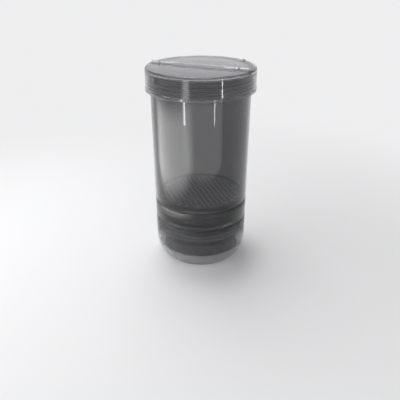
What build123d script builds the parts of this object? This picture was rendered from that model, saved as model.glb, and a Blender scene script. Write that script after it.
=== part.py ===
"""Dusting shaker: a tapered clear cup with a sieve in its foot, a powder ring and
a base cup screwed on below, and a screw lid with a hinged pouring flap on top.

Millimetres. The origin is the centre of the foot on the table, +Z is up, +X runs along the flap's
hinge and -Y points to the pouring edge.
"""

import os
from math import cos, radians, sin, sqrt, tan

from build123d import *

os.makedirs("parts", exist_ok=True)

# Heights of the pieces, from the table up
base_cup_height = 35.4
powder_ring_height = 14.6  # the part that shows between its two seams
main_cup_height = 102.0  # from its shoulder to its rim
lid_deck_height = 4.0  # from the seal's land to the lid's flat
foot_height = 3.0  # the floor of the base cup stands clear of the table by this
floor_thickness = 2.0
powder_neck_length = 16.0
cup_neck_length = 11.9
skirt_depth = 17.5  # from the lid's flat to the skirt's edge
neck_end_gap = 1.0  # between the end of the cup's neck and the step under it
wall_blend = 5.0  # height over which the thick wall around the sieve thins to the cup's wall

# Radii and walls. The cup, the powder ring and the base cup share one tapered outside.
body_radius = 37.2  # of the taper, carried down to the table
draft_angle = 0.726  # degrees, the outside widens upwards
mouth_straight = 11.9  # the stretch under the cup's rim that doesn't widen
wall = 1.8
neck_wall = 1.8
thread_room = 1.3  # radial space between a neck and the wall around it, where the thread ridges run
lid_thread_room = 1.7
skirt_wall = 1.8
skirt_bead = 0.3  # how far the bead at the skirt's edge stands out
skirt_bead_height = 2.2
bottom_height = 16.0  # the base cup's wall curves in to the foot below this height
bottom_radius = 22.0  # of that curve
foot_ring_width = 3.0
foot_round = 1.0
floor_round = 2.0
edge_round = 0.4
lid_edge_round = 1.5

# Seals
seal_thickness = 0.8
seal_setback = 0.25  # a seal's outer edge lies this far inside the body's outside
seal_fit = 0.2  # between a seal and the neck that it sits on
lid_seal_thickness = 1.0
lid_seal_overlap = 1.2  # the lid's seal reaches this far inside the cup's wall
lid_seal_gap = 0.3  # between the lid's seal and the skirt

# Sieve
sieve_ring_height = 1.8
sieve_ring_width = 3.4
sieve_flange_thickness = 0.8
sieve_flange_width = 1.8
sieve_clearance = 0.25
ledge_thickness = 1.2
seat_wall = 2.5  # the cup's wall is thicker around the sieve
mesh_thickness = 0.8
mesh_pitch = 3.9
mesh_hole = 2.3
mesh_turn = 40.0  # degrees between the mesh's rows and the flap's hinge
mesh_margin = 0.6  # least width of solid edge around the outermost holes
mesh_clearance = 0.1

# Lid flap and hinge
hinge_offset = 4.0  # the hinge line lies this far in front of the lid's centre
barrel_radius = 1.8
barrel_rise = 0.2  # the hinge axis stands this far above the lid's flat
barrel_half_length = 28.0
barrel_gap = 0.4
ear_width = 3.0
ear_notch = 1.6
hinge_half_length = 39.4
flap_thickness = 2.2
flap_seat_gap = 0.1
flap_edge_gap = 0.3
mouth_arc_radius = 33.0  # the D-shaped pouring mouth in the lid's seat
mouth_back = 9.0  # its straight side lies this far in front of the lid's centre
plug_depth = 3.0
plug_wall = 1.3
plug_clearance = 0.6
back_deck_thickness = 2.2
pin_radius = 0.8
pin_length = 18.0
pin_seat_clearance = 0.02
pin_running_clearance = 0.06
pin_end_gap = 0.5
thumb_turn = 253.0  # degrees around the lid from +X
thumb_depth = 1.35
thumb_radius = 12.0
thumb_drop = 1.6  # how far under the flat the scoop is deepest
pip_turn = 53.0
pip_height = 1.0
pip_radius = 1.6
pip_taper = 30.0

# Stack of the pieces
base_rim = base_cup_height
powder_shoulder = base_rim + seal_thickness
powder_rim = powder_shoulder + powder_ring_height
cup_shoulder = powder_rim + seal_thickness
cup_rim = cup_shoulder + main_cup_height
lid_land = cup_rim + lid_seal_thickness
lid_flat = lid_land + lid_deck_height
skirt_edge = lid_flat - skirt_depth
floor_top = foot_height + floor_thickness
mouth_base = cup_rim - mouth_straight


def outside(height):
    """Outer radius of the tapered body at a height above the table."""
    return body_radius + min(height, mouth_base) * tan(radians(draft_angle))


def bottom_curve(height, inset):
    """Radius of the base cup's curved bottom at a height, a distance inside its outer face."""
    rise = bottom_height - height
    return outside(bottom_height) - bottom_radius + sqrt((bottom_radius - inset) ** 2 - rise**2)


mouth_radius = outside(cup_rim)
base_bore = outside(base_rim) - wall
powder_neck_radius = base_bore - thread_room
powder_neck_bore = powder_neck_radius - neck_wall
powder_bore = outside(powder_rim) - wall
cup_neck_radius = powder_bore - thread_room
cup_neck_bore = cup_neck_radius - neck_wall
skirt_bore = mouth_radius + lid_thread_room
lid_radius = skirt_bore + skirt_wall
ledge_top = cup_shoulder + ledge_thickness
sieve_bore = outside(ledge_top) - seat_wall
sieve_radius = sieve_bore - sieve_clearance
foot_radius = bottom_curve(0, 0)
foot_inner = foot_radius - foot_ring_width
floor_radius = bottom_curve(floor_top, wall)


def nearest(corners, radius, height):
    """The profile corner nearest to a radius and height."""
    return corners.sort_by_distance((radius, height, 0))[0]


# Base cup: a wall that curves in to a foot ring, a raised floor, and a bore for the powder ring's neck
with BuildPart() as base_cup:
    with BuildSketch(Plane.XZ) as base_profile:
        with BuildLine():
            Polyline(
                (0, floor_top),
                (0, foot_height),
                (foot_inner, foot_height),
                (foot_inner, 0),
                (foot_radius, 0),
            )
            TangentArc((outside(bottom_height), bottom_height), (foot_radius, 0), tangent=(0, -1))
            Polyline(
                (outside(bottom_height), bottom_height),
                (outside(base_rim), base_rim),
                (base_bore, base_rim),
                (base_bore, bottom_height),
            )
            TangentArc((base_bore, bottom_height), (floor_radius, floor_top), tangent=(0, -1))
            Line((floor_radius, floor_top), (0, floor_top))
        make_face()
        fillet(nearest(base_profile.vertices(), foot_radius, 0), radius=foot_round)
        fillet(nearest(base_profile.vertices(), floor_radius, floor_top), radius=floor_round)
        fillet(nearest(base_profile.vertices(), foot_inner, foot_height), radius=edge_round)
        fillet(nearest(base_profile.vertices(), foot_inner, 0), radius=edge_round)
        fillet(nearest(base_profile.vertices(), outside(base_rim), base_rim), radius=edge_round)
    revolve(axis=Axis.Z)
base_cup.part.label = "base_cup"
export_step(base_cup.part, "parts/base_cup.step")

# Seal on the powder ring's neck, pinched between its shoulder and the base cup's rim
with BuildPart() as base_seal:
    with BuildSketch(Plane.XY.offset(base_rim)):
        Circle(outside(base_rim) - seal_setback)
        Circle(powder_neck_radius + seal_fit, mode=Mode.SUBTRACT)
    extrude(amount=seal_thickness)
base_seal.part.label = "base_seal"
export_step(base_seal.part, "parts/base_seal.step")

# Powder ring: a neck that screws into the base cup, and a bore that takes the cup's neck
powder_neck_end = powder_shoulder - powder_neck_length
powder_step = cup_shoulder - cup_neck_length - neck_end_gap
with BuildPart() as powder_ring:
    with BuildSketch(Plane.XZ) as powder_profile:
        with BuildLine():
            Polyline(
                (powder_neck_bore, powder_neck_end),
                (powder_neck_radius, powder_neck_end),
                (powder_neck_radius, powder_shoulder),
                (outside(powder_shoulder), powder_shoulder),
                (outside(powder_rim), powder_rim),
                (powder_bore, powder_rim),
                (powder_bore, powder_step),
                (powder_neck_bore, powder_step),
                close=True,
            )
        make_face()
        fillet(nearest(powder_profile.vertices(), powder_neck_radius, powder_neck_end), radius=edge_round)
        fillet(nearest(powder_profile.vertices(), outside(powder_shoulder), powder_shoulder), radius=edge_round)
        fillet(nearest(powder_profile.vertices(), outside(powder_rim), powder_rim), radius=edge_round)
        fillet(nearest(powder_profile.vertices(), powder_bore, powder_step), radius=edge_round)
    revolve(axis=Axis.Z)
powder_ring.part.label = "powder_ring"
export_step(powder_ring.part, "parts/powder_ring.step")

# Seal on the cup's neck, pinched between its shoulder and the powder ring's rim
with BuildPart() as cup_seal:
    with BuildSketch(Plane.XY.offset(powder_rim)):
        Circle(outside(powder_rim) - seal_setback)
        Circle(cup_neck_radius + seal_fit, mode=Mode.SUBTRACT)
    extrude(amount=seal_thickness)
cup_seal.part.label = "cup_seal"
export_step(cup_seal.part, "parts/cup_seal.step")

# Main cup: tall tapered tube with a straight mouth, a ledge inside for the sieve and a neck below
cup_neck_end = cup_shoulder - cup_neck_length
seat_top = ledge_top + sieve_ring_height + edge_round
with BuildPart() as main_cup:
    with BuildSketch(Plane.XZ) as cup_profile:
        with BuildLine():
            Polyline(
                (cup_neck_bore, cup_neck_end),
                (cup_neck_radius, cup_neck_end),
                (cup_neck_radius, cup_shoulder),
                (outside(cup_shoulder), cup_shoulder),
                (mouth_radius, mouth_base),
                (mouth_radius, cup_rim),
                (mouth_radius - wall, cup_rim),
                (mouth_radius - wall, mouth_base),
                (outside(seat_top + wall_blend) - wall, seat_top + wall_blend),
                (sieve_bore, seat_top),
                (sieve_bore, ledge_top),
                (cup_neck_bore, ledge_top),
                close=True,
            )
        make_face()
        fillet(nearest(cup_profile.vertices(), cup_neck_radius, cup_neck_end), radius=edge_round)
        fillet(nearest(cup_profile.vertices(), outside(cup_shoulder), cup_shoulder), radius=edge_round)
        fillet(nearest(cup_profile.vertices(), mouth_radius, cup_rim), radius=edge_round)
        fillet(nearest(cup_profile.vertices(), mouth_radius - wall, cup_rim), radius=edge_round)
    revolve(axis=Axis.Z)
main_cup.part.label = "main_cup"
export_step(main_cup.part, "parts/main_cup.step")

# Sieve ring: a flat ring with an inner flange that carries the mesh
mesh_radius = sieve_radius - (sieve_ring_width - sieve_flange_width)
sieve_opening = sieve_radius - sieve_ring_width
mesh_seat = ledge_top + sieve_flange_thickness
with BuildPart() as sieve_ring:
    with BuildSketch(Plane.XZ) as sieve_profile:
        with BuildLine():
            Polyline(
                (sieve_opening, ledge_top),
                (sieve_radius, ledge_top),
                (sieve_radius, ledge_top + sieve_ring_height),
                (mesh_radius, ledge_top + sieve_ring_height),
                (mesh_radius, mesh_seat),
                (sieve_opening, mesh_seat),
                close=True,
            )
        make_face()
        fillet(
            nearest(sieve_profile.vertices(), sieve_radius, ledge_top + sieve_ring_height),
            radius=edge_round,
        )
    revolve(axis=Axis.Z)
sieve_ring.part.label = "sieve_ring"
export_step(sieve_ring.part, "parts/sieve_ring.step")

# Sieve mesh: a thin disc with square holes in straight rows
hole_reach = sieve_opening - mesh_margin - mesh_hole / sqrt(2)
mesh_rows = 2 * int(hole_reach / mesh_pitch) + 1
hole_centres = [
    spot.position
    for spot in GridLocations(mesh_pitch, mesh_pitch, mesh_rows, mesh_rows)
    if spot.position.length < hole_reach
]
mesh_plane = Plane(
    origin=(0, 0, mesh_seat),
    x_dir=(cos(radians(mesh_turn)), sin(radians(mesh_turn)), 0),
    z_dir=(0, 0, 1),
)
with BuildPart() as sieve_mesh:
    with BuildSketch(mesh_plane):
        Circle(mesh_radius - mesh_clearance)
        with Locations(*hole_centres):
            Rectangle(mesh_hole, mesh_hole, mode=Mode.SUBTRACT)
    extrude(amount=mesh_thickness)
sieve_mesh.part.label = "sieve_mesh"
export_step(sieve_mesh.part, "parts/sieve_mesh.step")

# Lid seal: a flat ring between the cup's rim and the lid's land
with BuildPart() as lid_seal:
    with BuildSketch(Plane.XY.offset(cup_rim)):
        Circle(skirt_bore - lid_seal_gap)
        Circle(mouth_radius - wall - lid_seal_overlap, mode=Mode.SUBTRACT)
    extrude(amount=lid_seal_thickness)
lid_seal.part.label = "lid_seal"
export_step(lid_seal.part, "parts/lid_seal.step")

# Places around the hinge that the lid and the flap share
hinge_axis_height = lid_flat + barrel_rise
flap_under = lid_flat - flap_thickness
seat_top_face = flap_under - flap_seat_gap
recess_back = -hinge_offset + barrel_radius + barrel_gap
lug_front = -hinge_offset - barrel_radius
ear_start = barrel_half_length + barrel_gap
pin_outer_end = hinge_half_length - pin_end_gap
pin_inner_end = pin_outer_end - pin_length
hinge_plane = Plane(origin=(0, -hinge_offset, hinge_axis_height), x_dir=(0, 1, 0), z_dir=(1, 0, 0))
far = 2 * lid_radius  # reaches past the lid on every side

# Screw lid: skirt, fixed rear deck, seat with the D-shaped mouth, and the hinge's end lugs
with BuildPart() as lid_ring:
    with BuildSketch(Plane.XZ) as lid_profile:
        with BuildLine():
            Polyline(
                (0, lid_land),
                (skirt_bore, lid_land),
                (skirt_bore, skirt_edge),
                (lid_radius + skirt_bead, skirt_edge),
                (lid_radius + skirt_bead, skirt_edge + skirt_bead_height),
                (lid_radius, skirt_edge + skirt_bead_height + skirt_bead),
                (lid_radius, lid_flat),
                (0, lid_flat),
                close=True,
            )
        make_face()
        fillet(nearest(lid_profile.vertices(), lid_radius, lid_flat), radius=lid_edge_round)
        fillet(nearest(lid_profile.vertices(), lid_radius + skirt_bead, skirt_edge), radius=edge_round)
    revolve(axis=Axis.Z)
    # Recess for the flap: all in front of the lugs, and the barrel's slot between them
    with BuildSketch(Plane.XY.offset(seat_top_face)):
        with Locations((0, lug_front - flap_edge_gap)):
            Rectangle(2 * far, far, align=(Align.CENTER, Align.MAX))
        with Locations((0, recess_back)):
            Rectangle(2 * ear_start, hinge_offset + barrel_radius, align=(Align.CENTER, Align.MAX))
    extrude(amount=flap_thickness + flap_seat_gap + far, mode=Mode.SUBTRACT)
    # Pouring mouth
    with BuildSketch(Plane.XY.offset(lid_land)) as pouring_mouth:
        Circle(mouth_arc_radius)
        with Locations((0, -mouth_back)):
            Rectangle(2 * far, far, align=(Align.CENTER, Align.MAX), mode=Mode.INTERSECT)
        fillet(pouring_mouth.vertices(), radius=floor_round)
    extrude(amount=seat_top_face - lid_land, mode=Mode.SUBTRACT)
    # Hollow under the fixed rear deck
    with BuildSketch(Plane.XY.offset(lid_land)) as deck_hollow:
        Circle(mouth_arc_radius)
        with Locations((0, recess_back + back_deck_thickness)):
            Rectangle(2 * far, far, align=(Align.CENTER, Align.MIN), mode=Mode.INTERSECT)
        fillet(deck_hollow.vertices(), radius=floor_round)
    extrude(amount=lid_deck_height - back_deck_thickness, mode=Mode.SUBTRACT)
    # Hinge lugs: an ear beside each end of the barrel and a longer rounded end piece
    for side in (1, -1):
        with BuildSketch(hinge_plane.offset(side * ear_start)):
            Circle(barrel_radius)
        extrude(amount=side * ear_width)
        end_start = ear_start + ear_width + ear_notch
        with BuildSketch(hinge_plane.offset(side * end_start)):
            Circle(barrel_radius)
        extrude(amount=side * (hinge_half_length - end_start))
        with BuildSketch(Plane.XY.offset(hinge_axis_height - pin_radius - barrel_gap)):
            with Locations((side * (ear_start + ear_width + ear_notch / 2), -hinge_offset)):
                Rectangle(ear_notch, 2 * barrel_radius)
        extrude(amount=far, mode=Mode.SUBTRACT)
        with BuildSketch(hinge_plane.offset(side * (ear_start - barrel_gap))):
            Circle(pin_radius + pin_seat_clearance)
        extrude(amount=side * far, mode=Mode.SUBTRACT)
    # Thumb scoop in the skirt, under the flap's edge
    scoop_reach = lid_radius + thumb_radius - thumb_depth
    scoop_plane = Plane(
        origin=(
            scoop_reach * cos(radians(thumb_turn)),
            scoop_reach * sin(radians(thumb_turn)),
            lid_flat - thumb_drop,
        ),
        x_dir=(0, 0, 1),
        z_dir=(-sin(radians(thumb_turn)), cos(radians(thumb_turn)), 0),
    )
    with BuildSketch(scoop_plane):
        Circle(thumb_radius)
    extrude(amount=lid_radius, both=True, mode=Mode.SUBTRACT)
    # Small raised pip on the rear edge
    pip_reach = lid_radius - lid_edge_round - pip_radius
    with BuildSketch(Plane.XY.offset(lid_flat)):
        with Locations((pip_reach * cos(radians(pip_turn)), pip_reach * sin(radians(pip_turn)))):
            Circle(pip_radius)
    extrude(amount=pip_height, taper=pip_taper)
lid_ring.part.label = "lid_ring"
export_step(lid_ring.part, "parts/lid_ring.step")

# Pouring flap: a D-shaped plate flush with the lid, its hinge barrel and the plug that fills the mouth
with BuildPart() as pour_flap:
    with BuildSketch(Plane.XZ) as flap_profile:
        with BuildLine():
            Polyline(
                (0, flap_under),
                (lid_radius, flap_under),
                (lid_radius, lid_flat),
                (0, lid_flat),
                close=True,
            )
        make_face()
        fillet(nearest(flap_profile.vertices(), lid_radius, lid_flat), radius=lid_edge_round)
        fillet(nearest(flap_profile.vertices(), lid_radius, flap_under), radius=edge_round)
    revolve(axis=Axis.Z)
    with BuildSketch(Plane.XY.offset(flap_under)):
        with Locations((0, lug_front - 2 * flap_edge_gap)):
            Rectangle(2 * far, far, align=(Align.CENTER, Align.MAX))
        with Locations((0, -hinge_offset)):
            Rectangle(2 * barrel_half_length, hinge_offset + barrel_radius, align=(Align.CENTER, Align.MAX))
    extrude(amount=flap_thickness, mode=Mode.INTERSECT)
    with BuildSketch(hinge_plane):
        Circle(barrel_radius)
    extrude(amount=barrel_half_length, both=True)
    with BuildSketch(Plane.XY.offset(flap_under)) as plug_outline:
        Circle(mouth_arc_radius - plug_clearance)
        with Locations((0, -mouth_back - plug_clearance)):
            Rectangle(2 * far, far, align=(Align.CENTER, Align.MAX), mode=Mode.INTERSECT)
        fillet(plug_outline.vertices(), radius=floor_round)
        offset(amount=-plug_wall, mode=Mode.SUBTRACT)
    extrude(amount=-plug_depth)
    for side in (1, -1):
        with BuildSketch(hinge_plane.offset(side * barrel_half_length)):
            Circle(pin_radius + pin_running_clearance)
        extrude(amount=-side * (barrel_half_length - pin_inner_end + pin_end_gap), mode=Mode.SUBTRACT)
pour_flap.part.label = "pour_flap"
export_step(pour_flap.part, "parts/pour_flap.step")

# Hinge pins: one from each end, through the end piece and the ear into the barrel
with BuildPart() as hinge_pins:
    for side in (1, -1):
        with BuildSketch(hinge_plane.offset(side * pin_outer_end)):
            Circle(pin_radius)
        extrude(amount=-side * pin_length)
hinge_pins.part.label = "hinge_pins"
export_step(hinge_pins.part, "parts/hinge_pins.step")
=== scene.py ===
# %% [markdown]
# # A dusting shaker
# The shaker is a tall clear cup of smoke-grey plastic with a dark sieve near its foot, a powder ring and a
# base cup screwed on below, and a screw lid with a hinged flap. This lesson dresses the finished frame: it
# turns the clear walls with their screw threads, cuts the sieve, and gives every piece its plastic. The frame
# holds the true sizes, so most heights and radii here are read from it, and the rest are named values.

# %% Load the frame
import math

import bpy
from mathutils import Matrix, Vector


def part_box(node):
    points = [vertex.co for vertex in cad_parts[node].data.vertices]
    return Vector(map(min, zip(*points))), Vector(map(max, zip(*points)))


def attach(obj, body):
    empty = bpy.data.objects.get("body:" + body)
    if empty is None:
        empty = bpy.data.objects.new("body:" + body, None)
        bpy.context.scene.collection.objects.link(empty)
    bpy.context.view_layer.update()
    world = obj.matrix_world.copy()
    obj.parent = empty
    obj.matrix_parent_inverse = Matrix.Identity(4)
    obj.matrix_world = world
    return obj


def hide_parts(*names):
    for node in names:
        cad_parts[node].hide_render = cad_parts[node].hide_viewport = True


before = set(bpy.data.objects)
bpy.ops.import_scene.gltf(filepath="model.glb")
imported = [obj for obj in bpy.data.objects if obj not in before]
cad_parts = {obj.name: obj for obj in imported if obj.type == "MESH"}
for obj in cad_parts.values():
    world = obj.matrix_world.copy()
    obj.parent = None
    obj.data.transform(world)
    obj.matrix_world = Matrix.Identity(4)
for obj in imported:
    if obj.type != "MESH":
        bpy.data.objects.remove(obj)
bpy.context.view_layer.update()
bpy.ops.object.select_all(action="DESELECT")

MM = 0.001

# %% [markdown]
# ## The camera
# The photograph looks down on the shaker from about arm's length. A camera is a position, a direction and a
# lens. The height and the distance decide how round the lid's ellipse looks, the lens decides the size, and
# a small shift puts the shaker a little above the middle of the frame without tilting the upright lines.

# %% The camera
PICTURE = 400
CAMERA_DISTANCE = 0.3548
CAMERA_HEIGHT = 0.2305
CAMERA_TURN = math.radians(22.8)
CAMERA_PITCH = math.radians(22.9)
FOCAL_PIXELS = 469.5
CENTRE_ROW = 160.5
CENTRE_COLUMN = 200.8
SENSOR = 36.0
NEAREST_SEEN = 0.01

camera_data = bpy.data.cameras.new("camera")
camera_data.sensor_width = SENSOR
camera_data.lens = FOCAL_PIXELS / PICTURE * SENSOR
camera_data.shift_x = (PICTURE / 2 - CENTRE_COLUMN) / PICTURE
camera_data.shift_y = (CENTRE_ROW - PICTURE / 2) / PICTURE
camera_data.clip_start = NEAREST_SEEN
camera = bpy.data.objects.new("camera", camera_data)
bpy.context.scene.collection.objects.link(camera)
camera.location = (
    CAMERA_DISTANCE * math.sin(CAMERA_TURN),
    -CAMERA_DISTANCE * math.cos(CAMERA_TURN),
    CAMERA_HEIGHT,
)
camera.rotation_euler = (math.pi / 2 - CAMERA_PITCH, 0, CAMERA_TURN)
bpy.context.scene.camera = camera
print("lens", round(camera_data.lens, 1), "mm")

# %% [markdown]
# ## Three node helpers
# Materials, lamps and the world are trees of nodes, and the same small steps come back in all of them: a
# sum on two values, a ramp from 0 to 1, and the question of which rays are looking. Light Path answers the
# last one. The camera, and the rays that gloss and clear plastic send on, see how the surround looks, and
# how it lights the matt surfaces is set apart from that.

# %% Node helpers


def math_node(tree, operation, first, second):
    """A Math node on two values, each a socket or a number."""
    node = tree.nodes.new("ShaderNodeMath")
    node.operation = operation
    for slot, value in enumerate((first, second)):
        if isinstance(value, (int, float)):
            node.inputs[slot].default_value = value
        else:
            tree.links.new(value, node.inputs[slot])
    return node.outputs[0]


def ramp_node(tree, value, start, end, kind="SMOOTHSTEP"):
    """A Map Range node that goes from 0 to 1 while the value goes from start to end."""
    node = tree.nodes.new("ShaderNodeMapRange")
    node.interpolation_type = kind
    node.inputs["From Min"].default_value = start
    node.inputs["From Max"].default_value = end
    tree.links.new(value, node.inputs["Value"])
    return node


def seen_rays(tree):
    """A value of 1 on the rays that look at the surround: camera, gloss and clear plastic."""
    path = tree.nodes.new("ShaderNodeLightPath")
    seen = math_node(tree, "MAXIMUM", path.outputs["Is Camera Ray"], path.outputs["Is Glossy Ray"])
    return math_node(tree, "MAXIMUM", seen, path.outputs["Is Transmission Ray"])


print("helpers for nodes ready")

# %% [markdown]
# ## The floor
# A pale floor catches the shaker's soft shadow. Far from the shaker it would turn grey as the lamps fade, so
# its material passes over to the plain pale colour of the surround there. A Mix Shader does it, led by the
# distance from the shaker's axis. Near the shaker the floor is a plain rough surface that keeps the shadow.

# %% The floor
FLOOR_SIZE = 60.0
FLOOR_COLOUR = (0.80, 0.80, 0.81, 1)
FLOOR_ROUGHNESS = 0.75
FLOOR_GLOSS = 0.2
SURROUND_COLOUR = (0.86, 0.86, 0.87, 1)
FADE_START = 0.08
FADE_END = 0.42


def floor_material():
    """Pale floor that keeps the shadow near the shaker and turns to the surround's colour far away."""
    material = bpy.data.materials.new("pale_floor")
    material.use_nodes = True
    tree = material.node_tree
    shader = tree.nodes["Principled BSDF"]
    shader.inputs["Base Color"].default_value = FLOOR_COLOUR
    shader.inputs["Roughness"].default_value = FLOOR_ROUGHNESS
    shader.inputs["Specular IOR Level"].default_value = FLOOR_GLOSS
    place = tree.nodes.new("ShaderNodeTexCoord")
    distance = tree.nodes.new("ShaderNodeVectorMath")
    distance.operation = "LENGTH"
    tree.links.new(place.outputs["Object"], distance.inputs[0])
    fade = ramp_node(tree, distance.outputs["Value"], FADE_START, FADE_END)
    gate = math_node(tree, "MULTIPLY", fade.outputs[0], seen_rays(tree))
    surround = tree.nodes.new("ShaderNodeEmission")
    surround.inputs["Color"].default_value = SURROUND_COLOUR
    mix = tree.nodes.new("ShaderNodeMixShader")
    tree.links.new(gate, mix.inputs[0])
    tree.links.new(shader.outputs[0], mix.inputs[1])
    tree.links.new(surround.outputs[0], mix.inputs[2])
    tree.links.new(mix.outputs[0], tree.nodes["Material Output"].inputs["Surface"])
    return material


bpy.ops.mesh.primitive_plane_add(size=FLOOR_SIZE, location=(0, 0, 0))
floor = bpy.context.object
floor.name = "floor"
floor.data.materials.append(floor_material())
print("floor", FLOOR_SIZE, "m across")

# %% [markdown]
# ## The surround
# The world is pale up to the top of the backdrop and dark above it, like a ceiling. The dark ceiling is what
# draws dark lines in clear plastic. For matt surfaces the world is an even dim light. The view transform
# Standard shows a colour about as it is written.

# %% The surround
CEILING_COLOUR = (0.03, 0.03, 0.03, 1)
BACKDROP_TOP = math.radians(18)
CEILING_EDGE = math.radians(30)
WORLD_COLOUR = (1, 1, 1, 1)
WORLD_STRENGTH = 0.33


def surround_world():
    """A world that lights evenly, and looks pale low down and dark high up."""
    world = bpy.data.worlds.new("surround")
    world.use_nodes = True
    tree = world.node_tree
    dim = tree.nodes["Background"]
    dim.inputs["Color"].default_value = WORLD_COLOUR
    dim.inputs["Strength"].default_value = WORLD_STRENGTH
    place = tree.nodes.new("ShaderNodeTexCoord")
    parts = tree.nodes.new("ShaderNodeSeparateXYZ")
    tree.links.new(place.outputs["Generated"], parts.inputs[0])
    ceiling = ramp_node(tree, parts.outputs["Z"], math.sin(BACKDROP_TOP), math.sin(CEILING_EDGE))
    look = tree.nodes.new("ShaderNodeMix")
    look.data_type = "RGBA"
    look.inputs["A"].default_value = SURROUND_COLOUR
    look.inputs["B"].default_value = CEILING_COLOUR
    tree.links.new(ceiling.outputs[0], look.inputs["Factor"])
    bright = tree.nodes.new("ShaderNodeBackground")
    tree.links.new(look.outputs["Result"], bright.inputs["Color"])
    choice = tree.nodes.new("ShaderNodeMixShader")
    tree.links.new(seen_rays(tree), choice.inputs[0])
    tree.links.new(dim.outputs[0], choice.inputs[1])
    tree.links.new(bright.outputs[0], choice.inputs[2])
    tree.links.new(choice.outputs[0], tree.nodes["World Output"].inputs["Surface"])
    return world


bpy.context.scene.world = surround_world()
bpy.context.scene.view_settings.view_transform = "Standard"
print("backdrop up to", round(math.degrees(BACKDROP_TOP)), "degrees")

# %% [markdown]
# ## How a lamp is placed
# Every lamp is an area lamp that faces the middle of the cup. Its place is an angle to the right of the
# camera's side, a height and a distance. A lamp that only shows as a reflection is hidden from matt surfaces,
# so it can be as bright or as near as the highlight needs. Where a reflection should melt away, the lamp's
# light falls off towards its edges, by a ramp on Geometry's Parametric output.

# %% Lamp helpers
AIM = Vector((0, 0, 0.085))


def fade_edges(lamp_data, edge):
    """Makes a lamp's light fall off towards its four edges, over a share of its width and height."""
    lamp_data.use_nodes = True
    tree = lamp_data.node_tree
    place = tree.nodes.new("ShaderNodeNewGeometry")
    parts = tree.nodes.new("ShaderNodeSeparateXYZ")
    tree.links.new(place.outputs["Parametric"], parts.inputs[0])
    share = 1.0
    for axis in ("X", "Y"):
        for dark, full in ((0.0, edge), (1.0, 1.0 - edge)):
            ramp = ramp_node(tree, parts.outputs[axis], dark, full)
            share = math_node(tree, "MULTIPLY", ramp.outputs[0], share)
    tree.links.new(share, tree.nodes["Emission"].inputs["Strength"])


def soft_box(name, turn, height, distance, width, tall, power, gloss_only=False, edge=0.0):
    """An area lamp that faces the cup, in metres, degrees and watts."""
    lamp_data = bpy.data.lights.new(name, "AREA")
    lamp_data.shape = "RECTANGLE"
    lamp_data.size = width
    lamp_data.size_y = tall
    lamp_data.energy = power
    lamp = bpy.data.objects.new(name, lamp_data)
    bpy.context.scene.collection.objects.link(lamp)
    angle = CAMERA_TURN + math.radians(turn)
    lamp.location = (distance * math.sin(angle), -distance * math.cos(angle), height)
    lamp.rotation_euler = (AIM - lamp.location).to_track_quat("-Z", "Y").to_euler()
    lamp.visible_camera = False
    lamp.visible_transmission = False
    lamp.visible_diffuse = not gloss_only
    if edge:
        fade_edges(lamp_data, edge)
    return lamp


print("lamps face a point", round(AIM.z / MM), "mm above the floor")

# %% [markdown]
# ## The lamps
# A large soft box on the left and one high behind light the shaker. The first is hidden from gloss, and a
# second box in its place is seen by gloss alone, so its light and its reflection are set apart. Two near
# cards draw the broad soft bands on the cup: a bright one on the left, and a dim one in front.

# %% The lamps
key_box = soft_box("key_box", turn=-80, height=0.20, distance=0.42, width=0.74, tall=0.42, power=1.7)
key_box.visible_glossy = False
soft_box("top_box", turn=200, height=1.1, distance=0.4, width=0.6, tall=0.6, power=8.0)


def reflection(name, **place):
    """A lamp that only shows as a reflection."""
    return soft_box(name, gloss_only=True, **place)


reflection("left_glow", turn=-80, height=0.20, distance=0.42, width=0.74, tall=0.42, power=1.0)
reflection("left_card", turn=-63, height=0.063, distance=0.105, width=0.26, tall=0.125, power=0.40, edge=0.30)
reflection("front_card", turn=4, height=0.078, distance=0.100, width=0.18, tall=0.100, power=0.065, edge=0.15)

# %% [markdown]
# ## The upright highlights
# Clear plastic shows its shape by thin bright lines. Narrow upright boxes draw them. A mirror on a tapered
# wall sees a lamp only from one height, so the two boxes for the cup stand low and the two for the lid's
# skirt stand high.

# %% The upright highlights
reflection("left_edge", turn=-35, height=0.041, distance=0.30, width=0.020, tall=0.050, power=0.042)
reflection(
    "left_strip", turn=-28, height=0.086, distance=0.30, width=0.095, tall=0.060, power=0.068, edge=0.35
)
reflection("middle_strip", turn=29, height=0.041, distance=0.30, width=0.012, tall=0.050, power=0.021)
reflection("right_strip", turn=40, height=0.086, distance=0.30, width=0.012, tall=0.040, power=0.024)

# %% [markdown]
# ## The marks of the mould
# Moulded plastic is never perfectly even: the melt leaves faint waves, and use leaves hair scratches. One
# node group makes both, and each material sets its own amounts. The scratches come first. A stretched noise
# passes its middle value along thin lines, and only those lines are kept.

# %% Hair scratches
HAIR_STRETCH = (1.0, 1.0, 0.12)
HAIR_TURN = (0.5, 0.3, 0.0)
HAIR_DETAIL = 5.0
HAIR_ROUGHNESS = 0.65
HAIR_MIDDLE = 0.5
HAIR_WIDTH = 0.012


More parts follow.
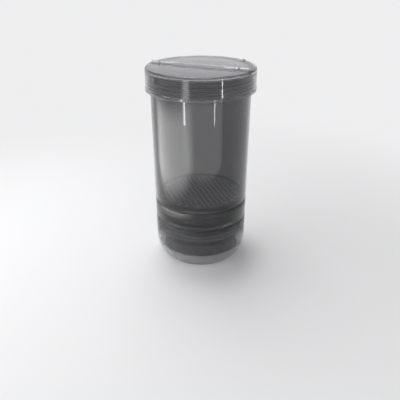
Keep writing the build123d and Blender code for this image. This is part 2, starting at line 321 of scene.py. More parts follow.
def hair_scratches(group, given):
    """A mask of thin lines, where a stretched noise passes its middle value."""
    stretch = group.nodes.new("ShaderNodeMapping")
    stretch.inputs["Scale"].default_value = HAIR_STRETCH
    stretch.inputs["Rotation"].default_value = HAIR_TURN
    group.links.new(given.outputs["Vector"], stretch.inputs["Vector"])
    hair = group.nodes.new("ShaderNodeTexNoise")
    hair.inputs["Detail"].default_value = HAIR_DETAIL
    hair.inputs["Roughness"].default_value = HAIR_ROUGHNESS
    group.links.new(stretch.outputs[0], hair.inputs["Vector"])
    group.links.new(given.outputs["Scratch Scale"], hair.inputs["Scale"])
    past_middle = math_node(group, "SUBTRACT", hair.outputs["Fac"], HAIR_MIDDLE)
    off_middle = math_node(group, "ABSOLUTE", past_middle, 0)
    line = ramp_node(group, off_middle, 0.0, HAIR_WIDTH, kind="LINEAR")
    line.inputs["To Min"].default_value = 1.0
    line.inputs["To Max"].default_value = 0.0
    return math_node(group, "MULTIPLY", line.outputs[0], given.outputs["Scratch Amount"])


print("a scratch takes", HAIR_WIDTH, "of the noise on each side of its middle")

# %% [markdown]
# ## The marks as one group
# A broader noise gives the waves. It leads the roughness from smooth to worn and the colour from light to
# dark. The scratches roughen the surface where they lie and cut a little into its height.

# %% Mould marks
FLOW_DETAIL = 2.0
FLOW_LOW = 0.35
FLOW_HIGH = 0.65
SCRATCH_ROUGHENS = 0.2
SCRATCH_DEPTH = 0.15


def marks_sockets(group):
    """The named inputs and outputs of the marks group."""
    face = group.interface
    face.new_socket("Vector", in_out="INPUT", socket_type="NodeSocketVector")
    for label in ("Flow Scale", "Scratch Scale", "Scratch Amount", "Smooth", "Worn"):
        face.new_socket(label, in_out="INPUT", socket_type="NodeSocketFloat")
    face.new_socket("Light Colour", in_out="INPUT", socket_type="NodeSocketColor")
    face.new_socket("Dark Colour", in_out="INPUT", socket_type="NodeSocketColor")
    face.new_socket("Colour", in_out="OUTPUT", socket_type="NodeSocketColor")
    face.new_socket("Roughness", in_out="OUTPUT", socket_type="NodeSocketFloat")
    face.new_socket("Height", in_out="OUTPUT", socket_type="NodeSocketFloat")


def mould_marks_group():
    """Faint flow waves and hair scratches of a moulded surface."""
    group = bpy.data.node_groups.new("mould_marks", "ShaderNodeTree")
    marks_sockets(group)
    given = group.nodes.new("NodeGroupInput")
    result = group.nodes.new("NodeGroupOutput")
    flow = group.nodes.new("ShaderNodeTexNoise")
    flow.inputs["Detail"].default_value = FLOW_DETAIL
    group.links.new(given.outputs["Vector"], flow.inputs["Vector"])
    group.links.new(given.outputs["Flow Scale"], flow.inputs["Scale"])
    scratch = hair_scratches(group, given)

    rough = ramp_node(group, flow.outputs["Fac"], FLOW_LOW, FLOW_HIGH, kind="LINEAR")
    group.links.new(given.outputs["Smooth"], rough.inputs["To Min"])
    group.links.new(given.outputs["Worn"], rough.inputs["To Max"])
    roughened = math_node(group, "MULTIPLY", scratch, SCRATCH_ROUGHENS)
    total = math_node(group, "ADD", rough.outputs[0], roughened)
    group.links.new(total, result.inputs["Roughness"])

    tint = group.nodes.new("ShaderNodeMix")
    tint.data_type = "RGBA"
    group.links.new(flow.outputs["Fac"], tint.inputs["Factor"])
    group.links.new(given.outputs["Light Colour"], tint.inputs["A"])
    group.links.new(given.outputs["Dark Colour"], tint.inputs["B"])
    group.links.new(tint.outputs["Result"], result.inputs["Colour"])

    groove = math_node(group, "MULTIPLY", scratch, SCRATCH_DEPTH)
    height = math_node(group, "SUBTRACT", flow.outputs["Fac"], groove)
    group.links.new(height, result.inputs["Height"])
    return group


mould_marks = mould_marks_group()
print("sockets of the marks group", len(mould_marks.interface.items_tree))

# %% [markdown]
# ## Greys and shadows
# Every colour here is a grey with a touch of blue. The lamps' light would not pass bent clear walls well,
# and the shaker would stand in a hard dark shadow. On shadow rays a clear plastic is therefore a plain
# window, and each face that the light passes takes a share of the tint.

# %% Greys and shadows
BLUE_TOUCH = 1.03
WINDOW_TINT = 0.15


def grey(value):
    """A neutral grey with a touch of blue."""
    return (value, value, value * BLUE_TOUCH, 1)


def let_lamps_through(tree, shader, tint):
    """Lets the lamps' light pass straight through a clear wall, tinted at both of its faces."""
    path = tree.nodes.new("ShaderNodeLightPath")
    window = tree.nodes.new("ShaderNodeBsdfTransparent")
    window.inputs["Color"].default_value = [part**WINDOW_TINT for part in tint[:3]] + [1]
    mix = tree.nodes.new("ShaderNodeMixShader")
    tree.links.new(path.outputs["Is Shadow Ray"], mix.inputs[0])
    tree.links.new(shader.outputs[0], mix.inputs[1])
    tree.links.new(window.outputs[0], mix.inputs[2])
    tree.links.new(mix.outputs[0], tree.nodes["Material Output"].inputs["Surface"])


print("blue over grey", BLUE_TOUCH)

# %% [markdown]
# ## How a plastic is made
# Each plastic is a Principled shader with the marks group in front. Its share of transmitted light makes it
# clear, and it takes a grey tint from each wall, so the shaker darkens where more walls lie behind each
# other.

# %% Plastic
PLASTIC_IOR = 1.5
MARK_DEPTH = 0.05 * MM


def plastic(name, light, dark, clear, smooth=0.0, worn=0.015, scratches=0.5, flow=60, hair=500, bump=0.15):
    """A moulded plastic between two greys. Clear is its share of transmitted light."""
    material = bpy.data.materials.new(name)
    material.use_nodes = True
    tree = material.node_tree
    shader = tree.nodes["Principled BSDF"]
    shader.inputs["IOR"].default_value = PLASTIC_IOR
    shader.inputs["Transmission Weight"].default_value = clear
    place = tree.nodes.new("ShaderNodeTexCoord")
    marks = tree.nodes.new("ShaderNodeGroup")
    marks.node_tree = mould_marks
    tree.links.new(place.outputs["Object"], marks.inputs["Vector"])
    marks.inputs["Flow Scale"].default_value = flow
    marks.inputs["Scratch Scale"].default_value = hair
    marks.inputs["Scratch Amount"].default_value = scratches
    marks.inputs["Smooth"].default_value = smooth
    marks.inputs["Worn"].default_value = worn
    marks.inputs["Light Colour"].default_value = grey(light)
    marks.inputs["Dark Colour"].default_value = grey(dark)
    tree.links.new(marks.outputs["Colour"], shader.inputs["Base Color"])
    tree.links.new(marks.outputs["Roughness"], shader.inputs["Roughness"])
    raised = tree.nodes.new("ShaderNodeBump")
    raised.inputs["Strength"].default_value = bump
    raised.inputs["Distance"].default_value = MARK_DEPTH
    tree.links.new(marks.outputs["Height"], raised.inputs["Height"])
    tree.links.new(raised.outputs["Normal"], shader.inputs["Normal"])
    if clear:
        let_lamps_through(tree, shader, grey(light))
    return material


print("a plastic bends light by", PLASTIC_IOR)

# %% [markdown]
# ## The clear plastics
# The real shaker is one smoke-grey plastic throughout. It looks darker low down, where the necks double its
# walls, and paler in the lid. Each section has its own grey to match, so the greys carry painted light and
# shade: the powder ring's darker grey is painted shade, and the paler greys of the lid's skirt and of its top
# are painted light. Polished faces are dulled only by waves and scratches.

# %% Clear plastics
cup_smoke = plastic("cup_smoke_clear", 0.24, 0.21, clear=0.985)
# The powder ring's darker grey is painted shade.
painted_shade_ring = plastic("ring_clear_painted_shade", 0.20, 0.17, clear=0.985, scratches=0.6)
base_smoke = plastic("base_smoke_clear", 0.45, 0.40, clear=0.985, scratches=0.6)
# The paler greys of the lid's skirt and of its top are painted light.
painted_light_skirt = plastic("lid_clear_painted_light", 0.56, 0.50, clear=0.975, worn=0.02, scratches=0.7)
painted_light_top = plastic("lid_top_painted_light_smoke", 0.68, 0.62, clear=0.94, worn=0.02, scratches=0.7)
print("finishes so far", len(bpy.data.materials))

# %% [markdown]
# ## The frosted plastics
# A screw thread, the band at the foot and the raised hinge are rougher and let less light straight through.
# Their greys carry painted light and shade, so they show as paler or darker forms inside the clear plastic:
# the mouth thread's dark grey is painted shade, and the paler greys of the neck threads, the foot band, the
# hinge and the pip are painted light and highlights. The ridges would all but vanish in fully clear plastic,
# as glass does in glass.

# %% Frosted plastics
FROSTED = {"smooth": 0.30, "worn": 0.36, "scratches": 0.2}
# The foot band's paler grey is painted light.
painted_light_foot = plastic("foot_clear_painted_light", 0.64, 0.58, clear=0.78, smooth=0.26, worn=0.32, scratches=0.2)
# The paler greys of the pip and the hinge are painted highlights.
painted_highlight_pip = plastic("pip_clear_painted_highlight", 0.75, 0.70, clear=0.40, smooth=0.30, worn=0.40, scratches=0.2)
painted_highlight_hinge = plastic("hinge_clear_painted_highlight", 0.74, 0.68, clear=0.60, smooth=0.28, worn=0.34, scratches=0.2)
# The mouth thread's dark grey is painted shade.
painted_shade_thread = plastic("thread_clear_painted_shade", 0.05, 0.03, clear=0.80, **FROSTED)
# The neck threads' paler grey is a painted highlight.
painted_highlight_neck = plastic("neck_thread_painted_highlight", 0.30, 0.25, clear=0.60, **FROSTED)
print("finishes so far", len(bpy.data.materials))

# %% [markdown]
# ## The dark plastics and the rubber
# The sieve is an opaque dark plastic with a satin skin and a finer grain. Light and shade are painted on it:
# its strand tops are painted lighter, its hole walls and undersides are painted near black as shade, and
# small knuckles stand up where strands cross, painted pale as glints. So it takes three finishes, and one for
# the rim, which keeps the sieve's own dark grey. The seals are matt rubber, and the hinge pins are frosted
# like the hinge.

# %% Dark plastics and rubber
FINE = {"flow": 200, "hair": 900, "bump": 0.3}
SATIN = {"clear": 0.0, "smooth": 0.30, "worn": 0.38}
# The strand tops' paler grey is painted light.
painted_light_strands = plastic("sieve_tops_painted_light", 0.32, 0.24, scratches=0.3, **SATIN, **FINE)
# The hole walls' near-black grey is painted shade.
painted_shade_holes = plastic("sieve_holes_painted_shade", 0.035, 0.025, clear=0.0, smooth=0.50, worn=0.60, scratches=0.2, **FINE)
rim_dark = plastic("sieve_rim_satin", 0.090, 0.065, scratches=0.3, **SATIN, **FINE)
# The knuckles' pale grey is a painted glint.
painted_glint_knuckles = plastic("sieve_knuckles_painted_glint", 0.60, 0.50, scratches=0.2, **SATIN, **FINE)
pin_smoke = plastic("pin_smoke_clear", 0.42, 0.36, clear=0.70, smooth=0.28, worn=0.36, scratches=0.3, **FINE)
RUBBER = {"smooth": 0.6, "worn": 0.8, "scratches": 0.0, "flow": 300, "hair": 900, "bump": 0.8}
seal_soft = plastic("seal_rubber", 0.035, 0.022, clear=0.0, **RUBBER)
print("finishes", len(bpy.data.materials))

# %% [markdown]
# ## Going in and out of edit mode
# A mesh tool works on what is selected in the active object, so each step has to start from a known state.
# One function opens a piece with all of it selected, one closes it again, and one moves a new piece's place
# into its mesh, so that its object stays at the origin.

# %% Editing helpers


def edit(piece):
    """Opens a piece in edit mode with all of it selected."""
    bpy.ops.object.select_all(action="DESELECT")
    bpy.context.view_layer.objects.active = piece
    piece.select_set(True)
    bpy.ops.object.mode_set(mode="EDIT")
    bpy.ops.mesh.select_mode(type="VERT")
    bpy.ops.mesh.select_all(action="SELECT")


def leave_edit():
    """Closes edit mode and deselects everything."""
    bpy.ops.object.mode_set(mode="OBJECT")
    bpy.ops.object.select_all(action="DESELECT")


def apply_place():
    """Moves the new piece's place and size into its mesh, so that its object sits at the origin."""
    bpy.ops.object.transform_apply(location=True, rotation=True, scale=True)


print("editing starts in", bpy.context.mode.lower(), "mode")

# %% [markdown]
# ## How a clear wall is turned
# The cup, the powder ring and the base cup are round, moulded pieces with real walls, and light bends at
# both faces of a wall. A circle is therefore extruded and scaled from ring to ring along the wall's section,
# out and back, and the last ring is bridged to the first. Sharp edges get a small round, as a mould has.

# %% Turning
SEGMENTS = 192
MOULD_ROUND = 0.3 * MM
ROUND_STEPS = 3
SHARP_CORNER = math.radians(40)
POLE = 0.01 * MM
TURNED_MERGE = 0.02 * MM


def turned(name, rings, finish, closed=True, mould_round=MOULD_ROUND):
    """A turned piece from (radius, height) rings in metres. A radius of 0 closes it on the axis."""
    radius = max(rings[0][0], POLE)
    height = rings[0][1]
    bpy.ops.mesh.primitive_circle_add(vertices=SEGMENTS, radius=radius, location=(0, 0, height))
    piece = bpy.context.object
    piece.name = name
    apply_place()
    edit(piece)
    for next_radius, next_height in rings[1:]:
        grow = max(next_radius, POLE) / radius
        rise = (0, 0, next_height - height)
        bpy.ops.mesh.extrude_region_move(TRANSFORM_OT_translate={"value": rise})
        bpy.ops.transform.resize(value=(grow, grow, 1), center_override=(0, 0, next_height))
        radius = radius * grow
        height = next_height
    if closed:
        bpy.ops.mesh.select_all(action="DESELECT")
        bpy.ops.mesh.select_mode(type="EDGE")
        bpy.ops.mesh.select_non_manifold(extend=False)
        bpy.ops.mesh.bridge_edge_loops()
    bpy.ops.mesh.select_mode(type="VERT")
    bpy.ops.mesh.select_all(action="SELECT")
    bpy.ops.mesh.remove_doubles(threshold=TURNED_MERGE)
    bpy.ops.mesh.normals_make_consistent(inside=False)
    bpy.ops.mesh.select_all(action="DESELECT")
    bpy.ops.mesh.select_mode(type="EDGE")
    bpy.ops.mesh.edges_select_sharp(sharpness=SHARP_CORNER)
    bpy.ops.mesh.bevel(offset=mould_round, segments=ROUND_STEPS, affect="EDGES")
    leave_edit()
    piece.data.materials.append(finish)
    return piece


print("a turned piece has", SEGMENTS, "sides")

# %% [markdown]
# ## How a piece is finished and seated
# A finished piece gets smooth shading that keeps its edges crisp. It rides on a body of the frame and stands
# for a node there, whose own mesh is hidden. Another finish can be given to chosen faces, by their middle and
# the way they face.

# %% Finishing helpers
CRISP_EDGE = math.radians(30)


def use_modifier(piece, kind, **settings):
    """Adds a modifier with its settings and applies it."""
    bpy.context.view_layer.objects.active = piece
    modifier = piece.modifiers.new(kind.lower(), kind)
    for key, value in settings.items():
        setattr(modifier, key, value)
    bpy.ops.object.modifier_apply(modifier=modifier.name)


def refinish(piece, finish, chosen):
    """Gives another finish to the faces that the test chooses, by their middle and the way they face."""
    piece.data.materials.append(finish)
    slot = len(piece.data.materials) - 1
    for face in piece.data.polygons:
        if chosen(face.center, face.normal):
            face.material_index = slot


def smooth(piece):
    """Smooth shading that keeps sharper edges crisp."""
    bpy.ops.object.select_all(action="DESELECT")
    bpy.context.view_layer.objects.active = piece
    piece.select_set(True)
    bpy.ops.object.shade_smooth_by_angle(angle=CRISP_EDGE)
    bpy.ops.object.select_all(action="DESELECT")


def dress(piece, node, body):
    """Puts a finished piece in the place of a CAD node."""
    smooth(piece)
    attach(piece, body)
    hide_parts(node)
    print(piece.name, "faces", len(piece.data.polygons))


print("edges over", round(math.degrees(CRISP_EDGE)), "degrees stay crisp")

# %% [markdown]
# ## The screw threads
# The lines that show through the plastic are screw threads: a raised ridge that winds round the neck, and
# one inside the piece that screws over it. Both climb at the same pitch. Each starts as a small four-sided
# face, wide at its root in the wall and narrow at its crest.

# %% The ridge's section
PITCH = 3.0 * MM
RIDGE_FOOT = 1.2 * MM
RIDGE_CREST = 0.6 * MM
RIDGE_ROOT = 0.2 * MM


def ridge_section(depth, side, middle, start):
    """The ridge's section as one upright face, wide at its root and narrow at its crest."""
    bpy.ops.mesh.primitive_plane_add(size=1, rotation=(math.pi / 2, 0, 0))
    piece = bpy.context.object
    apply_place()
    edit(piece)
    bpy.ops.transform.resize(value=(depth, 1, RIDGE_FOOT))
    leave_edit()
    for vertex in piece.data.vertices:
        vertex.select = vertex.co.x * side > 0
    bpy.context.view_layer.objects.active = piece
    bpy.ops.object.mode_set(mode="EDIT")
    bpy.ops.transform.resize(value=(1, 1, RIDGE_CREST / RIDGE_FOOT))
    bpy.ops.mesh.select_all(action="SELECT")
    bpy.ops.transform.translate(value=(middle, 0, start))
    leave_edit()
    return piece


print("threads climb", PITCH / MM, "mm a turn")

# %% [markdown]
# ## Winding the ridge
# The Screw modifier carries the face up in a right-handed helix and leaves both ends open, so they are
# filled. The root lies a little inside the wall, which gives the Boolean union a clean line to join along.

# %% Winding and joining
RIDGE_STEPS = 144
SKIN_MERGE = 0.001 * MM


def ridge(radius, start, turns, stand, outward, finish):
    """A helical ridge on a wall at that radius. It stands out or in, and its root lies inside the wall."""
    side = 1 if outward else -1
    middle = radius + side * (stand - RIDGE_ROOT) / 2
    piece = ridge_section(stand + RIDGE_ROOT, side, middle, start)
    steps = int(turns * RIDGE_STEPS)
    climb = turns * PITCH
    use_modifier(
        piece, "SCREW", angle=turns * 2 * math.pi, screw_offset=climb, steps=steps, render_steps=steps
    )
    edit(piece)
    bpy.ops.mesh.remove_doubles(threshold=SKIN_MERGE)
    bpy.ops.mesh.select_all(action="DESELECT")
    bpy.ops.mesh.select_mode(type="EDGE")
    bpy.ops.mesh.select_non_manifold(extend=False)
    bpy.ops.mesh.fill_holes(sides=0)
    bpy.ops.mesh.select_all(action="SELECT")
    bpy.ops.mesh.normals_make_consistent(inside=False)
    leave_edit()
    piece.data.materials.append(finish)
    return piece


def unite(piece, other):
    """Joins another solid to the piece, so that one closed skin is left."""
    use_modifier(
        piece, "BOOLEAN", operation="UNION", solver="EXACT", material_mode="TRANSFER", object=other
    )
    bpy.data.objects.remove(other)


print("steps in a turn", RIDGE_STEPS)

# %% [markdown]
# ## The body's outside
# The base cup, the powder ring and the main cup share one tapered outside, which is straight only under the
# lid. One small function gives its radius at any height, so the three pieces meet in one line.

# %% The body's outside
WALL = 1.8 * MM
DRAFT = math.radians(0.726)
MOUTH_STRAIGHT = 11.9 * MM
base_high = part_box("base_cup")[1]
cup_low, cup_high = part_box("main_cup")
body_radius = base_high.x - base_high.z * math.tan(DRAFT)
mouth_base = cup_high.z - MOUTH_STRAIGHT


def outside(height):
    """The body's outer radius at a height: it widens upwards and is straight under the lid."""
    return body_radius + min(height, mouth_base) * math.tan(DRAFT)


print("radius at the foot", round(outside(0) / MM, 1), "mm, at the mouth", round(outside(mouth_base) / MM, 1))

# %% [markdown]
# ## The base cup
# The lowest piece holds the spare powder. Its wall curves in to a foot ring, its floor stands clear of the
# table, and its bore has the thread for the powder ring. The curve is an arc, so its rings come from a loop,
# once for the outer face and once, a wall's thickness further in, for the inner one.

# %% The base cup's section
BOTTOM_HEIGHT = 16.0 * MM
BOTTOM_RADIUS = 22.0 * MM
BOTTOM_STEPS = 14
FOOT_HEIGHT = 3.0 * MM
FLOOR_THICKNESS = 2.0 * MM
FOOT_RING = 3.0 * MM


def bottom_curve(height, inset):
    """Radius of the curved bottom at a height, a distance inside its outer face."""
    rise = BOTTOM_HEIGHT - height
    return outside(BOTTOM_HEIGHT) - BOTTOM_RADIUS + math.sqrt((BOTTOM_RADIUS - inset) ** 2 - rise**2)


floor_top = FOOT_HEIGHT + FLOOR_THICKNESS
base_bore = outside(base_high.z) - WALL
foot_inner = bottom_curve(0, 0) - FOOT_RING
shares = [index / BOTTOM_STEPS for index in range(BOTTOM_STEPS + 1)]
outer_curve = [(bottom_curve(share * BOTTOM_HEIGHT, 0), share * BOTTOM_HEIGHT) for share in shares]
inner_climb = BOTTOM_HEIGHT - floor_top
inner_heights = [floor_top + share * inner_climb for share in shares[1:]]
inner_curve = [(bottom_curve(height, WALL), height) for height in inner_heights]
base_rings = [(0, FOOT_HEIGHT), (foot_inner, FOOT_HEIGHT), (foot_inner, 0)]
base_rings += outer_curve
base_rings += [(outside(base_high.z), base_high.z), (base_bore, base_high.z)]
base_rings += inner_curve[::-1]
base_rings += [(bottom_curve(floor_top, WALL), floor_top), (0, floor_top)]
print("rings of the base cup", len(base_rings))

# %% [markdown]
# ## The base cup's thread and foot band
# The ridge in the bore stands half a pitch above the one that the powder ring has on its neck, so the two
# slide past each other. The curved corner of the base gets a frosted, paler finish, and its paleness is
# painted light.

# %% The base cup
NECK_RIDGE = 0.85 * MM
RING_THREAD_START = 22.6 * MM
BASE_THREAD_START = RING_THREAD_START + PITCH / 2
BASE_THREAD_TURNS = 2
BAND_FOOT = 2.8 * MM
BAND_TOP = 13.0 * MM


def in_foot_band(middle, facing):
    """The band round the foot, outside the foot ring, which takes painted light."""
    return BAND_FOOT < middle.z < BAND_TOP and middle.xy.length > foot_inner


base_cup = turned("base_cup_clear", base_rings, base_smoke, closed=False)
unite(base_cup, ridge(base_bore, BASE_THREAD_START, BASE_THREAD_TURNS, NECK_RIDGE, False, painted_highlight_neck))
# The curved corner at the foot gets the painted light.
refinish(base_cup, painted_light_foot, in_foot_band)
dress(base_cup, "base_cup", "base")

# %% [markdown]
# ## The powder ring
# The short ring between the two seams screws into the base cup with its neck and takes the cup's neck in its
# bore. Its section steps in at the shoulder, where the flat seal lies, and both threads are ridges.

# %% Powder ring
NECK_ROOM = 1.3 * MM
NECK_END_GAP = 1.0 * MM
CUP_THREAD_START = 41.7 * MM
RING_BORE_THREAD_START = CUP_THREAD_START + PITCH / 2
RING_BORE_TURNS = 1.75
ring_low, ring_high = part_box("powder_ring")
ring_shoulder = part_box("base_seal")[1].z
ring_neck = base_bore - NECK_ROOM
ring_inside = ring_neck - WALL
ring_bore = outside(ring_high.z) - WALL
ring_step = cup_low.z - NECK_END_GAP
ring_rings = [
    (ring_inside, ring_low.z),
    (ring_neck, ring_low.z),
    (ring_neck, ring_shoulder),
    (outside(ring_shoulder), ring_shoulder),
    (outside(ring_high.z), ring_high.z),
    (ring_bore, ring_high.z),
    (ring_bore, ring_step),
    (ring_inside, ring_step),
]
powder_ring = turned("powder_ring_clear", ring_rings, painted_shade_ring)
# The neck and bore threads carry the painted highlight.
unite(powder_ring, ridge(ring_neck, RING_THREAD_START, BASE_THREAD_TURNS, NECK_RIDGE, True, painted_highlight_neck))
bore_ridge = ridge(ring_bore, RING_BORE_THREAD_START, RING_BORE_TURNS, NECK_RIDGE, False, painted_highlight_neck)
unite(powder_ring, bore_ridge)
dress(powder_ring, "powder_ring", "ring")

# %% [markdown]
# ## The main cup
# The cup is one long tapered tube. Inside, just above its neck, the wall thickens to a ledge for the sieve,
# and at the top a straight stretch carries the lid's thread.

# %% Main cup
LEDGE = 1.2 * MM
SIEVE_WALL = 2.5 * MM
SEAT_HEIGHT = 2.2 * MM
WALL_BLEND = 5.0 * MM
cup_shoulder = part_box("cup_seal")[1].z
cup_neck = ring_bore - NECK_ROOM
cup_inside = cup_neck - WALL
ledge_top = cup_shoulder + LEDGE
sieve_bore = outside(ledge_top) - SIEVE_WALL
seat_top = ledge_top + SEAT_HEIGHT
thin_wall = seat_top + WALL_BLEND
mouth = outside(cup_high.z)
cup_rings = [
    (cup_inside, cup_low.z),
    (cup_neck, cup_low.z),
    (cup_neck, cup_shoulder),
    (outside(cup_shoulder), cup_shoulder),
    (mouth, mouth_base),
    (mouth, cup_high.z),
    (mouth - WALL, cup_high.z),
    (mouth - WALL, mouth_base),
    (outside(thin_wall) - WALL, thin_wall),
    (sieve_bore, seat_top),
    (sieve_bore, ledge_top),
    (cup_inside, ledge_top),
]
main_cup = turned("main_cup_clear", cup_rings, cup_smoke)
print("mouth radius", round(mouth / MM, 2), "mm")

# %% [markdown]
# ## The main cup's threads
# The neck has one and a half turns, which the short powder ring has room for. The mouth has three, and they
# stand out further, because the lid is opened every day. The mouth threads are frosted, and their dark grey
# is painted shade, which draws the dark lines that show through the skirt. The neck thread's paler grey is a
# painted highlight.

# %% Main cup's threads
CUP_NECK_TURNS = 1.5
LID_RIDGE = 1.05 * MM
MOUTH_THREAD_START = 144.2 * MM
LID_THREAD_TURNS = 3
unite(main_cup, ridge(cup_neck, CUP_THREAD_START, CUP_NECK_TURNS, NECK_RIDGE, True, painted_highlight_neck))
# The mouth thread carries the painted shade.
unite(main_cup, ridge(mouth, MOUTH_THREAD_START, LID_THREAD_TURNS, LID_RIDGE, True, painted_shade_thread))
dress(main_cup, "main_cup", "cup")

# %% [markdown]
# ## The sieve's net
# The sieve is a flat moulded net in a ring. A grid has one cell for each hole: the cells inside the ring are
# inset, their middles are deleted, and Solidify gives the strands their thickness. A disc then trims the net
# round, and its strands' edges are rounded, so that they catch a line of light.

# %% The net as a flat grid
MESH_PITCH = 3.9 * MM
MESH_HOLE = 2.3 * MM
MESH_TURN = math.radians(40)
MESH_MARGIN = 0.6 * MM
BORDER_CELLS = 2
SIEVE_RING_WIDTH = 3.4 * MM
net_low, net_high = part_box("sieve_mesh")
rim_low, rim_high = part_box("sieve_ring")
sieve_opening = rim_high.x - SIEVE_RING_WIDTH
hole_reach = sieve_opening - MESH_MARGIN - MESH_HOLE / math.sqrt(2)
half_cells = int(hole_reach / MESH_PITCH) + BORDER_CELLS
cells = 2 * half_cells + 1
bpy.ops.mesh.primitive_grid_add(
    x_subdivisions=cells, y_subdivisions=cells, size=cells * MESH_PITCH, location=(0, 0, net_low.z)
)
net = bpy.context.object
net.name = "sieve_net"
apply_place()
edit(net)
bpy.ops.mesh.select_all(action="DESELECT")
leave_edit()
for face in net.data.polygons:
    face.select = face.center.xy.length < hole_reach
print("cells across the net", cells)

# %% [markdown]
# ## Cutting the holes
# Inset with use_individual shrinks each chosen cell by itself, and what is left between the cells is the
# strands. The net is turned last, because the photograph shows its rows running aslant.

# %% Cut the holes
bpy.context.view_layer.objects.active = net
net.select_set(True)
bpy.ops.object.mode_set(mode="EDIT")
bpy.ops.mesh.select_mode(type="FACE")
bpy.ops.mesh.inset(thickness=(MESH_PITCH - MESH_HOLE) / 2, use_individual=True)
bpy.ops.mesh.delete(type="FACE")
bpy.ops.mesh.select_all(action="SELECT")
bpy.ops.transform.rotate(value=-MESH_TURN, orient_axis="Z", center_override=(0, 0, 0))
leave_edit()
print("strand width", round((MESH_PITCH - MESH_HOLE) / MM, 1), "mm")

# %% [markdown]
# ## The net as a solid
# The hole walls get the dark matt finish and the border the rim's, so that the rows of strands stand out as
# they do in the photograph. A wall is told from a top by the way it faces.

# %% Thicken, trim and finish the net
STRAND_ROUND = 0.22 * MM
STRAND_ROUND_STEPS = 2
STRAND_EDGE = math.radians(60)
DISC_DEPTH = 4 * MM
WALL_FACING = 0.5
net_middle = (net_low.z + net_high.z) / 2
use_modifier(net, "SOLIDIFY", thickness=net_high.z - net_low.z, offset=1)
bpy.ops.mesh.primitive_cylinder_add(
    vertices=SEGMENTS, radius=net_high.x, depth=DISC_DEPTH, location=(0, 0, net_middle)
)
disc = bpy.context.object
apply_place()
use_modifier(net, "BOOLEAN", operation="INTERSECT", solver="EXACT", object=disc)
bpy.data.objects.remove(disc)
use_modifier(
    net,
    "BEVEL",
    width=STRAND_ROUND,
    segments=STRAND_ROUND_STEPS,
    limit_method="ANGLE",
    angle_limit=STRAND_EDGE,
)
# The strand tops keep the paler grey, which is painted light.
net.data.materials.append(painted_light_strands)
refinish(net, rim_dark, lambda middle, facing: middle.xy.length > hole_reach + MESH_PITCH / 2)
# Walls and undersides of the strands get the painted shade.
refinish(net, painted_shade_holes, lambda middle, facing: facing.z < WALL_FACING)
dress(net, "sieve_mesh", "sieve")

# %% [markdown]
# ## The knuckles
# Where two strands cross, the moulding stands up in a small flat knuckle, and its pale grey is a painted
# glint that draws the rows of bright points. One is modelled from a sphere with few faces, because it is
# repeated at every crossing. The copies are then joined to one piece.

# %% Knuckles
KNUCKLE = 0.60 * MM
KNUCKLE_FLATTEN = 0.6
KNUCKLE_SIDES = 8
KNUCKLE_RINGS = 5
bpy.ops.mesh.primitive_uv_sphere_add(
    segments=KNUCKLE_SIDES, ring_count=KNUCKLE_RINGS, radius=KNUCKLE, location=(0, 0, 0)
)
knuckle = bpy.context.object
edit(knuckle)
bpy.ops.transform.resize(value=(1, 1, KNUCKLE_FLATTEN))
leave_edit()


def crossing(row, column):
    """The place of a crossing in the net before it was turned."""
    return ((row + 0.5) * MESH_PITCH, (column + 0.5) * MESH_PITCH)


def set_knuckle(across, along):
    """A copy of the knuckle on the turned net's upper face."""
    copy = bpy.data.objects.new("knuckle", knuckle.data.copy())
    bpy.context.scene.collection.objects.link(copy)
    copy.location = (
        across * math.cos(MESH_TURN) + along * math.sin(MESH_TURN),
        along * math.cos(MESH_TURN) - across * math.sin(MESH_TURN),
        net_high.z,
    )
    return copy


steps_out = range(-half_cells, half_cells)
places = [crossing(row, column) for row in steps_out for column in steps_out]
knuckle_copies = [set_knuckle(*place) for place in places if math.hypot(*place) < hole_reach]
bpy.data.objects.remove(knuckle)
print("knuckles", len(knuckle_copies))

# %% [markdown]
# ## Joining the knuckles
# Join works on what is selected and keeps the active one, so everything else is deselected first. The
# knuckles stand for no node of the frame, but they ride with the sieve and carry their own pale finish, which
# is a painted glint.

# %% Join the knuckles
bpy.ops.object.select_all(action="DESELECT")
for copy in knuckle_copies:
    copy.select_set(True)
knuckles = knuckle_copies[0]
bpy.context.view_layer.objects.active = knuckles
bpy.ops.object.join()
apply_place()
knuckles.name = "sieve_knuckles"
# The knuckles take the pale grey of the painted glint.
knuckles.data.materials.append(painted_glint_knuckles)
smooth(knuckles)
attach(knuckles, "sieve")
print("faces of the knuckles", len(knuckles.data.polygons))

# %% [markdown]
# ## The sieve's rim
# The net lies in a ring with a raised lip, which is the dark line round the sieve. The ring stands a hair
# clear of its ledge, so that the two faces don't fight for the same place in a render.

# %% Sieve's rim
RIM_LIP = 0.9 * MM
RIM_WIDTH = 1.3 * MM
RIM_SEAT_GAP = 0.03 * MM
NET_FIT = 0.1 * MM
rim_base = rim_low.z + RIM_SEAT_GAP
lip_top = rim_high.z + RIM_LIP
net_seat = net_high.x + NET_FIT
rim_rings = [
    (sieve_opening, rim_base),
    (rim_high.x, rim_base),
    (rim_high.x, lip_top),
    (rim_high.x - RIM_WIDTH, lip_top),
    (rim_high.x - RIM_WIDTH, rim_high.z),
    (net_seat, rim_high.z),
    (net_seat, net_low.z),
    (sieve_opening, net_low.z),
]
sieve_ring = turned("sieve_rim", rim_rings, rim_dark)
dress(sieve_ring, "sieve_ring", "sieve")

# %% [markdown]
# ## The seals
# A flat soft ring is pinched at each screw seam and under the lid, so that fine powder stays in while the
# cup is shaken. Each seal is turned with its own small round.

# %% Seals
SEAL_ROUND = 0.15 * MM
SEAL_FIT = 0.2 * MM
LID_SEAL_OVERLAP = 1.2 * MM


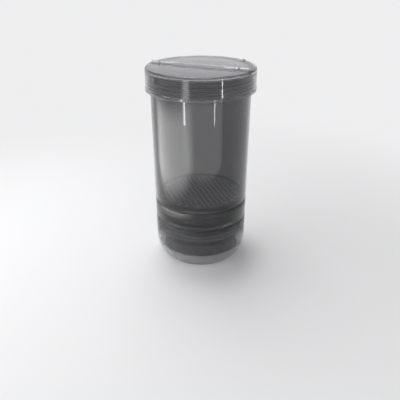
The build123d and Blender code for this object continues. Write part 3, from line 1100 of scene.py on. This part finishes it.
def seal(node, body, inner):
    """A flat seal with the outer size of its CAD node and an inner radius."""
    low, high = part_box(node)
    rings = [(inner, low.z), (high.x, low.z), (high.x, high.z), (inner, high.z)]
    piece = turned(node + "_soft", rings, seal_soft, mould_round=SEAL_ROUND)
    dress(piece, node, body)


seal("base_seal", "base_gasket", ring_neck + SEAL_FIT)
seal("cup_seal", "cup_gasket", cup_neck + SEAL_FIT)
seal("lid_seal", "lid_gasket", mouth - WALL - LID_SEAL_OVERLAP)

# %% [markdown]
# ## Copies of the lid, the flap and the pins
# The frame's lid and flap already have the true moulded shape, with the hinge, the scoop for the thumb and
# the pip. A node's mesh is loose triangles, so a copy of it is merged to a closed skin, which bends light
# well and can take a Boolean.

# %% A copy of a node


def copy_of(node, name, finish):
    """A copy of a CAD node's mesh with its loose triangles merged to one skin."""
    piece = bpy.data.objects.new(name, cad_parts[node].data.copy())
    bpy.context.scene.collection.objects.link(piece)
    piece.data.materials.clear()
    edit(piece)
    bpy.ops.mesh.customdata_custom_splitnormals_clear()
    bpy.ops.mesh.remove_doubles(threshold=SKIN_MERGE)
    leave_edit()
    piece.data.materials.append(finish)
    return piece


lid = copy_of("lid_ring", "lid_clear", painted_light_skirt)
flap = copy_of("pour_flap", "flap_clear", painted_light_top)
pins = copy_of("hinge_pins", "hinge_pins_turned", pin_smoke)
print("vertices of the lid", len(lid.data.vertices))

# %% [markdown]
# ## The lid and its flap
# The skirt gets the thread that runs on the cup. The lid's top and the flap are paler than the skirt, and
# this paleness is painted light. What stands above the flat, the hinge and the pip, is frosted and paler
# still. It is a painted highlight that shows as a pale line across the lid.

# %% Lid and flap
LID_ROOM = 1.7 * MM
LID_THREAD_START = MOUTH_THREAD_START - PITCH / 2
PIP_SIDE = 5.0 * MM
TOP_SKIN = 3.5 * MM
HINGE_RISE = 2.0 * MM
RAISED = 0.1 * MM
lid_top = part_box("lid_ring")[1].z
raised_from = lid_top - HINGE_RISE + RAISED
# The lid's top faces take the paler grey, which is painted light.
refinish(lid, painted_light_top, lambda middle, facing: middle.z > lid_top - TOP_SKIN)
# The lid's thread carries the same painted shade.
unite(lid, ridge(mouth + LID_ROOM, LID_THREAD_START, LID_THREAD_TURNS, LID_RIDGE, False, painted_shade_thread))
# Faces above the flat get paler greys, which are painted highlights.
refinish(lid, painted_highlight_pip, lambda middle, facing: middle.z > raised_from and middle.y > PIP_SIDE)
refinish(lid, painted_highlight_hinge, lambda middle, facing: middle.z > raised_from and middle.y < PIP_SIDE)
refinish(flap, painted_highlight_hinge, lambda middle, facing: middle.z > raised_from)
dress(lid, "lid_ring", "lid")
dress(flap, "pour_flap", "flap")
dress(pins, "hinge_pins", "lid")
